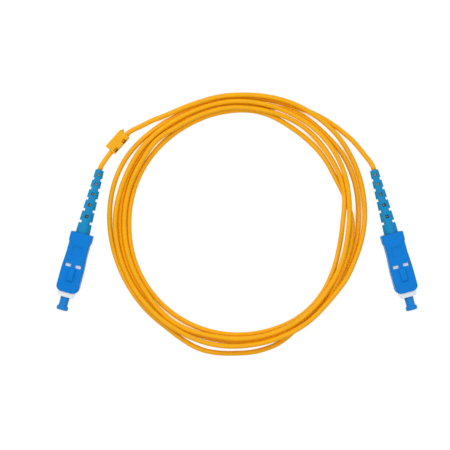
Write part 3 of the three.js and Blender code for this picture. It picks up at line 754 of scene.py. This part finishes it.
yarn_front, yarn_rear, yarn_radius = 18.45, 23.6, 1.72
strands = []
strand_count = 26
for i in range(strand_count):
    rings = []
    for step in range(9):
        y = yarn_front + (yarn_rear - yarn_front) * step / 8
        angle = tau * i / strand_count + 0.12 * sin(5 * y / 3 + 2.4 * i)
        centre = Vector((yarn_radius * cos(angle), y, yarn_radius * sin(angle)))
        out = Vector((cos(angle), 0, sin(angle)))
        around_axis = Vector((-sin(angle), 0, cos(angle)))
        rings.append(
            [
                centre + out * 0.085 * cos(tau * j / 6) + around_axis * 0.19 * sin(tau * j / 6)
                for j in range(6)
            ]
        )
    strands.append(skinned(rings))
yarn = joined(*strands)
yarn.shade_smooth()
both_ends("yarn_strands", yarn, "cord", "yarn_yellow", "aramid_yarn")

# %% [markdown]
# ## Spring
#
# A steel spring pushes the ferrule forward so that two fibre ends meet under force. A spring is a wire along
# a helix. It gets shorter as the ferrule is pressed in, which no rigid piece can do, so each spring gets a
# mesh of its own.

# %% Spring
spring_front, spring_rear, wire = 6.7, 12.2, 0.4
curls, curl_steps, coil_radius = 6, 28, 1.5
spring_path = []
for i in range(curls * curl_steps + 1):
    angle = tau * i / curl_steps
    y = spring_front + wire / 2 + (spring_rear - spring_front - wire) * i / (curls * curl_steps)
    spring_path.append(Vector((coil_radius * cos(angle), y, coil_radius * sin(angle))))
coil_spring = wire_along(spring_path, wire / 2, 10, Vector((0, 1, 0)))
coil_spring.shade_smooth()
coil_spring.set_sharp_from_angle(angle=radians(50))
for side, piece in zip(sides, both_ends("press_spring", coil_spring, "cord", "spring_steel", "spring")):
    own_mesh(piece)

# %% [markdown]
# ## Marker clip
#
# A small yellow clip snaps on the left lead to tell the two ends apart. It is a block with a round bore, a
# mouth along its inner side to snap over the cord, two notches that let the jaws flex and a pointed tab.

# %% Marker clip
clip_end, clip_shift = 4.6, -0.85  # half its length, and how far it lies to one side of the cord
clip_body = rounded_box(
    [
        (-clip_end, 2.2, 1.75, 0.3, clip_shift),
        (-clip_end + 0.25, 2.45, 2.0, 0.5, clip_shift),
        (clip_end - 0.25, 2.45, 2.0, 0.5, clip_shift),
        (clip_end, 2.2, 1.75, 0.3, clip_shift),
    ]
)
tab_outline = [(-2.8, 2.85), (-1.3, 2.85), (-1.3, 4.35), (-2.8, 5.65)]
tab = skinned([[(x, y, z) for x, y in tab_outline] for z in (-0.8, 0.8)])
clip_bore = turned([(0, -5.6), (1.1, -5.6), (1.1, 5.6), (0, 5.6)], 48)
clip_mouth = block((0, 2.6), (-5.6, 5.6), (-0.8, 0.8))
notches_y = ((-3.75, -2.05), (1.05, 2.75))
clip_notches = [block((0.3, 2.6), notch_y, (-0.8, 4)) for notch_y in notches_y]
clip = combined(clip_body, "UNION", tab)
clip = combined(clip, "DIFFERENCE", clip_bore, clip_mouth, *clip_notches)
clip_place = (
    Matrix.Scale(mm, 4)
    @ Matrix.Translation(clip_middle)
    @ Matrix.Rotation(clip_bearing - pi / 2, 4, "Z")
)
clip = softened(clip, 0.1)
marker_clip = lay("cord_marker_clip", clip, clip_place, "marker_clip", "clip_yellow", "marker_clip")
print(f"marker clip: {len(marker_clip.data.polygons)} faces")

# %% [markdown]
# ## Finishes
#
# Every finish is procedural, so it has no seams and needs no pictures. Four effects are shared, and each is
# one node group: moulded plastic's faint unevenness, edges that handling has rubbed pale and that get a
# painted highlight, the fine marks that turning or drawing leaves round or along a piece, and painted shade
# in places that are closed in.


# %% Small helpers for shader nodes
def socketed_group(name, inputs, outputs):
    group = bpy.data.node_groups.new(name, "ShaderNodeTree")
    for label, kind, value in inputs:
        socket = group.interface.new_socket(label, in_out="INPUT", socket_type=kind)
        socket.default_value = value
    for label, kind in outputs:
        group.interface.new_socket(label, in_out="OUTPUT", socket_type=kind)
    return group, group.nodes.new("NodeGroupInput"), group.nodes.new("NodeGroupOutput")


def add(tree, kind, **settings):
    """A shader node with its settings; a setting that isn't a property sets the input of that name."""
    node = tree.nodes.new(kind)
    for label, value in settings.items():
        if hasattr(node, label):
            setattr(node, label, value)
        else:
            node.inputs[label.replace("_", " ")].default_value = value
    return node


def link(tree, start, end):
    tree.links.new(start, end)
    return end.node


def calculated(tree, operation, first, second):
    """A Math node's output; each of its inputs is a number or a socket."""
    node = add(tree, "ShaderNodeMath", operation=operation)
    for socket, value in zip(node.inputs, (first, second)):
        if isinstance(value, (int, float)):
            socket.default_value = value
        else:
            tree.links.new(value, socket)
    return node.outputs[0]


# %% [markdown]
# Moulded plastic is never one flat colour: thickness, flow and handling vary it by a few percent over
# millimetres, and its skin has a very fine grain. Two noises do it, a broad one for shade and a fine one for
# the grain's height and roughness.

# %% Moulded skin
moulded, entry, result = socketed_group(
    "moulded_skin",
    [
        ("Colour", "NodeSocketColor", (0.5, 0.5, 0.5, 1)),
        ("Shade", "NodeSocketFloat", 0.08),
        ("Patch size", "NodeSocketFloat", 3.0),
        ("Grain size", "NodeSocketFloat", 0.15),
        ("Roughness", "NodeSocketFloat", 0.4),
    ],
    [("Colour", "NodeSocketColor"), ("Roughness", "NodeSocketFloat"), ("Height", "NodeSocketFloat")],
)
place = add(moulded, "ShaderNodeTexCoord").outputs["Object"]
broad = add(moulded, "ShaderNodeTexNoise", Detail=3.0)
fine = add(moulded, "ShaderNodeTexNoise", Detail=2.0)
for noise, size in ((broad, "Patch size"), (fine, "Grain size")):
    link(moulded, place, noise.inputs["Vector"])
    link(moulded, calculated(moulded, "DIVIDE", 1000.0, entry.outputs[size]), noise.inputs["Scale"])
centred = calculated(moulded, "SUBTRACT", broad.outputs["Fac"], 0.5)
spread = calculated(moulded, "MULTIPLY", centred, entry.outputs["Shade"])
value = calculated(moulded, "ADD", calculated(moulded, "MULTIPLY", spread, 4.0), 1.0)
shade = add(moulded, "ShaderNodeHueSaturation")
link(moulded, entry.outputs["Colour"], shade.inputs["Color"])
link(moulded, value, shade.inputs["Value"])
link(moulded, shade.outputs[0], result.inputs["Colour"])
grainy = calculated(moulded, "MULTIPLY", calculated(moulded, "SUBTRACT", fine.outputs["Fac"], 0.5), 0.25)
patchy = calculated(moulded, "MULTIPLY", centred, 0.3)
rough = calculated(moulded, "ADD", entry.outputs["Roughness"], calculated(moulded, "ADD", grainy, patchy))
link(moulded, rough, result.inputs["Roughness"])
link(moulded, fine.outputs["Fac"], result.inputs["Height"])

# %% [markdown]
# Handling polishes or pales the edges of a piece, and this group also paints a highlight along them: a
# lighter edge colour, the same whichever way the light falls. A Bevel node gives the normal that the surface
# would have with rounder edges; where that differs from the true normal there is an edge, on any mesh.

# %% Rubbed edges with a painted highlight
edge_wear_highlight, entry, result = socketed_group(
    "edge_wear_and_highlight",
    [
        ("Colour", "NodeSocketColor", (0.5, 0.5, 0.5, 1)),
        ("Edge colour", "NodeSocketColor", (0.8, 0.8, 0.8, 1)),
        ("Amount", "NodeSocketFloat", 0.4),
        ("Patch size", "NodeSocketFloat", 1.0),
    ],
    [("Colour", "NodeSocketColor")],
)
round_normal = add(edge_wear_highlight, "ShaderNodeBevel", samples=4, Radius=0.22 * mm)
true_normal = add(edge_wear_highlight, "ShaderNodeNewGeometry").outputs["Normal"]
likeness = add(edge_wear_highlight, "ShaderNodeVectorMath", operation="DOT_PRODUCT")
link(edge_wear_highlight, round_normal.outputs[0], likeness.inputs[0])
link(edge_wear_highlight, true_normal, likeness.inputs[1])
edge = add(edge_wear_highlight, "ShaderNodeMapRange")
edge.inputs["From Min"].default_value = 0.995
edge.inputs["From Max"].default_value = 0.9
link(edge_wear_highlight, likeness.outputs["Value"], edge.inputs["Value"])
patches = add(edge_wear_highlight, "ShaderNodeTexNoise", Detail=4.0)
link(edge_wear_highlight, add(edge_wear_highlight, "ShaderNodeTexCoord").outputs["Object"], patches.inputs["Vector"])
link(edge_wear_highlight, calculated(edge_wear_highlight, "DIVIDE", 1000.0, entry.outputs["Patch size"]), patches.inputs["Scale"])
broken = calculated(edge_wear_highlight, "MULTIPLY", edge.outputs[0], patches.outputs["Fac"])
worn_and_lit = calculated(edge_wear_highlight, "MULTIPLY", broken, entry.outputs["Amount"])
# The lighter edge colour is edge wear and a painted highlight in one.
paler = add(edge_wear_highlight, "ShaderNodeMix", data_type="RGBA")
link(edge_wear_highlight, worn_and_lit, paler.inputs["Factor"])
link(edge_wear_highlight, entry.outputs["Colour"], paler.inputs["A"])
link(edge_wear_highlight, entry.outputs["Edge colour"], paler.inputs["B"])
link(edge_wear_highlight, paler.outputs["Result"], result.inputs["Colour"])

# %% [markdown]
# Turned pieces carry rings, and drawn or extruded ones lines. Both are a noise that is stretched in one
# direction. The plugs lean, so the noise is first turned to the plug's own axis: by one angle on the left
# of the picture and by its opposite on the right.

# %% Tool marks
marked, entry, result = socketed_group(
    "tool_marks",
    [
        ("Colour", "NodeSocketColor", (0.5, 0.5, 0.5, 1)),
        ("Shade", "NodeSocketFloat", 0.1),
        ("Along", "NodeSocketFloat", 8.0),
        ("Across", "NodeSocketFloat", 0.3),
        ("Roughness", "NodeSocketFloat", 0.3),
    ],
    [("Colour", "NodeSocketColor"), ("Roughness", "NodeSocketFloat"), ("Height", "NodeSocketFloat")],
)
place = add(marked, "ShaderNodeTexCoord").outputs["Object"]
apart_x = add(marked, "ShaderNodeSeparateXYZ")
link(marked, place, apart_x.inputs[0])
end = add(marked, "ShaderNodeMath", operation="SIGN")
link(marked, apart_x.outputs["X"], end.inputs[0])
straightened = add(marked, "ShaderNodeVectorRotate", rotation_type="Z_AXIS")
link(marked, place, straightened.inputs["Vector"])
link(marked, calculated(marked, "MULTIPLY", end.outputs[0], -lean), straightened.inputs["Angle"])
stretch = add(marked, "ShaderNodeCombineXYZ")
for axis, label in (("X", "Across"), ("Y", "Along"), ("Z", "Across")):
    link(marked, calculated(marked, "MULTIPLY", entry.outputs[label], 1000.0), stretch.inputs[axis])
scaled = add(marked, "ShaderNodeVectorMath", operation="MULTIPLY")
link(marked, straightened.outputs[0], scaled.inputs[0])
link(marked, stretch.outputs[0], scaled.inputs[1])
lines = add(marked, "ShaderNodeTexNoise", Scale=1.0, Detail=3.0)
link(marked, scaled.outputs[0], lines.inputs["Vector"])
centred = calculated(marked, "SUBTRACT", lines.outputs["Fac"], 0.5)
spread = calculated(marked, "MULTIPLY", centred, entry.outputs["Shade"])
value = calculated(marked, "ADD", calculated(marked, "MULTIPLY", spread, 4.0), 1.0)
shade = add(marked, "ShaderNodeHueSaturation")
link(marked, entry.outputs["Colour"], shade.inputs["Color"])
link(marked, value, shade.inputs["Value"])
link(marked, shade.outputs[0], result.inputs["Colour"])
uneven = calculated(marked, "MULTIPLY", centred, 0.5)
link(marked, calculated(marked, "ADD", entry.outputs["Roughness"], uneven), result.inputs["Roughness"])
link(marked, lines.outputs["Fac"], result.inputs["Height"])

# %% [markdown]
# Little light gets into a slot, a notch or the gap between two turns, and what does has been coloured by the
# plastic on its way, so such a shaded place differs in colour and isn't merely greyer. This group paints that
# shade into the colour: the Ambient Occlusion node measures how closed in a point is, and that measure leads
# from the open colour to a second, painted shade colour.

# %% Painted shade in closed-in places
painted_shade, entry, result = socketed_group(
    "painted_crevice_shade",
    [
        ("Colour", "NodeSocketColor", (0.5, 0.5, 0.5, 1)),
        ("Deep colour", "NodeSocketColor", (0.2, 0.1, 0.0, 1)),
        ("Open above", "NodeSocketFloat", 0.85),
        ("Closed below", "NodeSocketFloat", 0.25),
        ("Reach", "NodeSocketFloat", 1.6),
    ],
    [("Colour", "NodeSocketColor")],
)
# The AO measure paints shade into the colour: the more closed in a point, the nearer its colour to the shade
# colour.
openness = add(painted_shade, "ShaderNodeAmbientOcclusion", samples=8)
link(painted_shade, calculated(painted_shade, "MULTIPLY", entry.outputs["Reach"], mm), openness.inputs["Distance"])
closed = add(painted_shade, "ShaderNodeMapRange", interpolation_type="SMOOTHSTEP")
link(painted_shade, openness.outputs["AO"], closed.inputs["Value"])
link(painted_shade, entry.outputs["Open above"], closed.inputs["From Min"])
link(painted_shade, entry.outputs["Closed below"], closed.inputs["From Max"])
shade_mix = add(painted_shade, "ShaderNodeMix", data_type="RGBA")
link(painted_shade, closed.outputs["Result"], shade_mix.inputs["Factor"])
link(painted_shade, entry.outputs["Colour"], shade_mix.inputs["A"])
link(painted_shade, entry.outputs["Deep colour"], shade_mix.inputs["B"])
link(painted_shade, shade_mix.outputs["Result"], result.inputs["Colour"])

# %% [markdown]
# Colours are picked as a screen shows them and turned into the linear values that light is added up in.


# %% Colour
def screen(red, green, blue):
    """A screen colour, 0 to 255, as linear light."""
    parts = (red / 255, green / 255, blue / 255)
    linear = [part / 12.92 if part <= 0.04045 else ((part + 0.055) / 1.055) ** 2.4 for part in parts]
    return (*linear, 1)


# %% [markdown]
# A finish is a Principled shader fed by those groups. What is the same all over, such as how strongly it
# reflects, is set on the shader itself; what varies comes from the groups.


# %% A finish from the shared effects
def group_node(tree, group, **values):
    node = tree.nodes.new("ShaderNodeGroup")
    node.node_tree = group
    for label, value in values.items():
        node.inputs[label.replace("_", " ")].default_value = value
    return node


def finish(
    name,
    skin,
    colour,
    edge_colour=None,
    shade_colour=None,
    closeness=None,
    bump=0.02,
    constants=None,
    **values,
):
    material = bpy.data.materials.new(name)
    material.use_nodes = True
    tree = material.node_tree
    shader = tree.nodes["Principled BSDF"]
    for label, value in (constants or {}).items():
        shader.inputs[label].default_value = value
    skin_node = group_node(tree, skin, Colour=colour, **values)
    surface = skin_node.outputs["Colour"]
    # Edge wear with a painted highlight along the edges.
    if edge_colour:
        wear_highlight_node = group_node(tree, edge_wear_highlight, Edge_colour=edge_colour)
        link(tree, surface, wear_highlight_node.inputs["Colour"])
        surface = wear_highlight_node.outputs["Colour"]
    # Painted shade in slots, notches and crevices.
    if shade_colour:
        shade_node = group_node(tree, painted_shade, Deep_colour=shade_colour, **(closeness or {}))
        link(tree, surface, shade_node.inputs["Colour"])
        surface = shade_node.outputs["Colour"]
    link(tree, surface, shader.inputs["Base Color"])
    link(tree, skin_node.outputs["Roughness"], shader.inputs["Roughness"])
    relief = add(tree, "ShaderNodeBump", Strength=0.5, Distance=bump * mm)
    link(tree, skin_node.outputs["Height"], relief.inputs["Height"])
    link(tree, relief.outputs[0], shader.inputs["Normal"])
    return material


# %% [markdown]
# ## The finish of each piece
#
# The grip is a hard plastic with a satin gloss, the boot a softer, greener and duller rubber, the cap a waxy
# polyethylene. The cord's jacket is a smooth extruded plastic, between orange and yellow. Each shade colour
# is painted shade in a piece's slots, notches and crevices, and each edge colour is edge wear with a painted
# highlight. Yellow lit by yellow loses little light, so the jacket's painted shade between its turns is
# hardly another colour, while the clip's notches are painted dark.

# %% Plastics and rubber
finishes = {
    "grip_blue": finish(
        "grip_blue",
        moulded,
        screen(0, 127, 218),
        edge_colour=screen(30, 150, 234),
        shade_colour=screen(0, 102, 196),
        constants={"Specular IOR Level": 0.08},
        Shade=0.05,
        Patch_size=5.0,
        Grain_size=0.12,
        Roughness=0.36,
    ),
    "boot_blue": finish(
        "boot_blue",
        moulded,
        screen(4, 140, 196),
        edge_colour=screen(70, 172, 202),
        shade_colour=screen(0, 112, 160),
        constants={"Specular IOR Level": 0.2},
        Shade=0.07,
        Patch_size=3.0,
        Grain_size=0.2,
        Roughness=0.55,
        bump=0.03,
    ),
    "cap_blue": finish(
        "cap_blue",
        moulded,
        screen(0, 130, 212),
        edge_colour=screen(60, 160, 230),
        shade_colour=screen(0, 100, 178),
        constants={"Specular IOR Level": 0.25},
        Shade=0.06,
        Patch_size=2.0,
        Grain_size=0.15,
        Roughness=0.42,
    ),
    "frame_white": finish(
        "frame_white",
        moulded,
        screen(240, 246, 249),
        constants={"Specular IOR Level": 0.3},
        Shade=0.02,
        Patch_size=3.0,
        Grain_size=0.12,
        Roughness=0.35,
    ),
    "jacket_yellow": finish(
        "jacket_yellow",
        moulded,
        screen(252, 178, 0),
        # Painted shade between the turns, hardly another colour than the jacket.
        shade_colour=screen(255, 180, 0),
        constants={"Specular IOR Level": 0.2},
        Shade=0.05,
        Patch_size=6.0,
        Grain_size=0.25,
        Roughness=0.45,
    ),
    "clip_yellow": finish(
        "clip_yellow",
        moulded,
        screen(250, 178, 0),
        edge_colour=screen(255, 200, 60),
        # Dark painted shade in the clip's notches.
        shade_colour=screen(84, 42, 0),
        closeness={"Open_above": 0.9, "Closed_below": 0.5, "Reach": 2.5},
        constants={"Specular IOR Level": 0.2},
        Shade=0.05,
        Patch_size=2.0,
        Grain_size=0.15,
        Roughness=0.4,
    ),
    "tube_white": finish(
        "tube_white",
        moulded,
        screen(235, 232, 222),
        Shade=0.03,
        Patch_size=2.0,
        Grain_size=0.1,
        Roughness=0.5,
    ),
    "buffer_white": finish(
        "buffer_white",
        moulded,
        screen(240, 236, 222),
        Shade=0.03,
        Patch_size=2.0,
        Grain_size=0.1,
        Roughness=0.5,
    ),
    "zirconia": finish(
        "zirconia",
        moulded,
        screen(247, 245, 238),
        Shade=0.01,
        Patch_size=1.5,
        Grain_size=0.05,
        Roughness=0.12,
        bump=0.002,
        constants={"IOR": 2.1},
    ),
}

# %% [markdown]
# The metals are turned or drawn, so their marks run round or along them. Aramid is a dull golden fibre with
# lines along its strands.

# %% Metals and yarn
metal = {"Metallic": 1.0}
metals = [  # name, colour, along, across, roughness, bump
    ("flange_steel", screen(198, 200, 204), 9.0, 0.3, 0.3, 0.006),
    ("spring_steel", screen(176, 178, 182), 3.0, 3.0, 0.32, 0.004),
    ("stop_nickel", screen(206, 202, 190), 8.0, 0.3, 0.3, 0.006),
    ("crimp_aluminium", screen(192, 195, 200), 0.4, 9.0, 0.4, 0.008),
]
for name, colour, along, across, roughness, bump in metals:
    finishes[name] = finish(
        name, marked, colour, constants=metal, Along=along, Across=across, Roughness=roughness, bump=bump
    )
finishes["yarn_yellow"] = finish(
    "yarn_yellow",
    marked,
    screen(222, 190, 92),
    Along=0.5,
    Across=30.0,
    Shade=0.15,
    Roughness=0.7,
    bump=0.03,
)

# %% Put the finishes on
slot_of = {part["node"]: part["material_slot"] for part in frame["record"]["subparts"]}
for name, node in frame["nodes"].items():
    node.data.materials.clear()
    node.data.materials.append(finishes[slot_of[name]])
for piece in (*dressed, yellow_cord):
    piece.data.materials.clear()
    piece.data.materials.append(finishes[piece["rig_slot"]])
print(f"{len(finishes)} finishes on {len(dressed) + 1} new pieces and the solids that stay")

# %% [markdown]
# ## Table and light
#
# The photograph is a cut-out on white. The table is white to the camera and in reflections, by light of its
# own, and keeps a faint shadow because a small part of it is an ordinary pale surface. In the narrow gap
# between two yellow turns a white table is lit by the cord more than by the lamps, so there a warm tint of
# that bounced light is painted into its colour, and in the narrowest slits a brown painted shade.

# %% Table
table_mesh = bpy.data.meshes.new("table")
table_mesh.from_pydata([(-2, -2, 0), (2, -2, 0), (2, 2, 0), (-2, 2, 0)], [], [(0, 1, 2, 3)])
table = bpy.data.objects.new("table", table_mesh)
table.location.z = -0.05 * mm
bpy.context.scene.collection.objects.link(table)
table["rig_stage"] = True
table_white = bpy.data.materials.new("table_white")
table_white.use_nodes = True
tree = table_white.node_tree
tree.nodes.clear()
seen = add(tree, "ShaderNodeLightPath")
looked_at = calculated(tree, "MAXIMUM", seen.outputs["Is Camera Ray"], seen.outputs["Is Glossy Ray"])
looked_at = calculated(tree, "MAXIMUM", looked_at, seen.outputs["Is Transmission Ray"])
glow = add(tree, "ShaderNodeEmission", Strength=0.89)
paper = add(tree, "ShaderNodeBsdfDiffuse")
# Painted light on the table: a warm tint of light bounced from the cord in narrow gaps, and a brown painted
# shade in the narrowest slits.
gap = group_node(tree, painted_shade, Colour=(1, 1, 1, 1), Deep_colour=screen(255, 200, 80), Reach=2.5)
slit_shade = group_node(tree, painted_shade, Deep_colour=screen(204, 122, 6), Reach=2.5)
for node, open_above, closed_below in ((gap, 0.46, 0.3), (slit_shade, 0.32, 0.12)):
    node.inputs["Open above"].default_value = open_above
    node.inputs["Closed below"].default_value = closed_below
link(tree, gap.outputs["Colour"], slit_shade.inputs["Colour"])
link(tree, slit_shade.outputs["Colour"], glow.inputs["Color"])
dim = add(tree, "ShaderNodeVectorMath", operation="SCALE", Scale=0.16)
link(tree, slit_shade.outputs["Colour"], dim.inputs[0])
link(tree, dim.outputs[0], paper.inputs["Color"])
both = add(tree, "ShaderNodeAddShader")
link(tree, glow.outputs[0], both.inputs[0])
link(tree, paper.outputs[0], both.inputs[1])
plain = add(tree, "ShaderNodeBsdfDiffuse", Color=(0.8, 0.8, 0.8, 1))
choice = add(tree, "ShaderNodeMixShader")
link(tree, looked_at, choice.inputs[0])
link(tree, plain.outputs[0], choice.inputs[1])
link(tree, both.outputs[0], choice.inputs[2])
output = add(tree, "ShaderNodeOutputMaterial")
link(tree, choice.outputs[0], output.inputs["Surface"])
table_mesh.materials.append(table_white)

# %% [markdown]
# The light is soft and from above, so that it draws each turn of the cord without a hard shadow: a large
# panel, a smaller one at the upper left for the cord's highlights, and an even white all round. The white
# that the camera sees is apart from the light that falls on the object, which stays at a plain level.


# %% Light
def panel(name, place, aim, size, power):
    lamp = bpy.data.lights.new(name, "AREA")
    lamp.shape = "SQUARE"
    lamp.size = size
    lamp.energy = power
    stand = bpy.data.objects.new(name, lamp)
    stand.location = place
    stand.rotation_euler = (Vector(aim) - Vector(place)).to_track_quat("-Z", "Y").to_euler()
    bpy.context.scene.collection.objects.link(stand)


panel("overhead_panel", (0.1, 0.15, 0.9), (0, 0, 0), 0.9, 3.0)
panel("upper_left_panel", (-0.55, 0.5, 0.6), (0, 0, 0), 0.35, 1.8)

world = bpy.data.worlds.new("studio")
bpy.context.scene.world = world
world.use_nodes = True
tree = world.node_tree
tree.nodes.clear()
seen = add(tree, "ShaderNodeLightPath")
room = add(tree, "ShaderNodeBackground", Strength=0.55)
white = add(tree, "ShaderNodeBackground", Strength=1.0)
choice = add(tree, "ShaderNodeMixShader")
output = add(tree, "ShaderNodeOutputWorld")
looked_at = calculated(tree, "MAXIMUM", seen.outputs["Is Camera Ray"], seen.outputs["Is Glossy Ray"])
looked_at = calculated(tree, "MAXIMUM", looked_at, seen.outputs["Is Transmission Ray"])
link(tree, looked_at, choice.inputs[0])
link(tree, room.outputs[0], choice.inputs[1])
link(tree, white.outputs[0], choice.inputs[2])
link(tree, choice.outputs[0], output.inputs["Surface"])
for background in (room, white):
    background.inputs["Color"].default_value = (1, 1, 1, 1)
bpy.context.scene.view_settings.view_transform = "Standard"

# %% [markdown]
# ## The sizes at the finish
#
# The dressed cord must be exactly as big as its solids. The size of both boxes is printed in millimetres.

# %% Finish
visual_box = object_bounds()
sizes = {"cad": [list(corner) for corner in solid_box], "visual": [list(corner) for corner in visual_box]}
for label, (low, high) in sizes.items():
    print(label, [round((b - a) / mm, 2) for a, b in zip(low, high)], "mm")
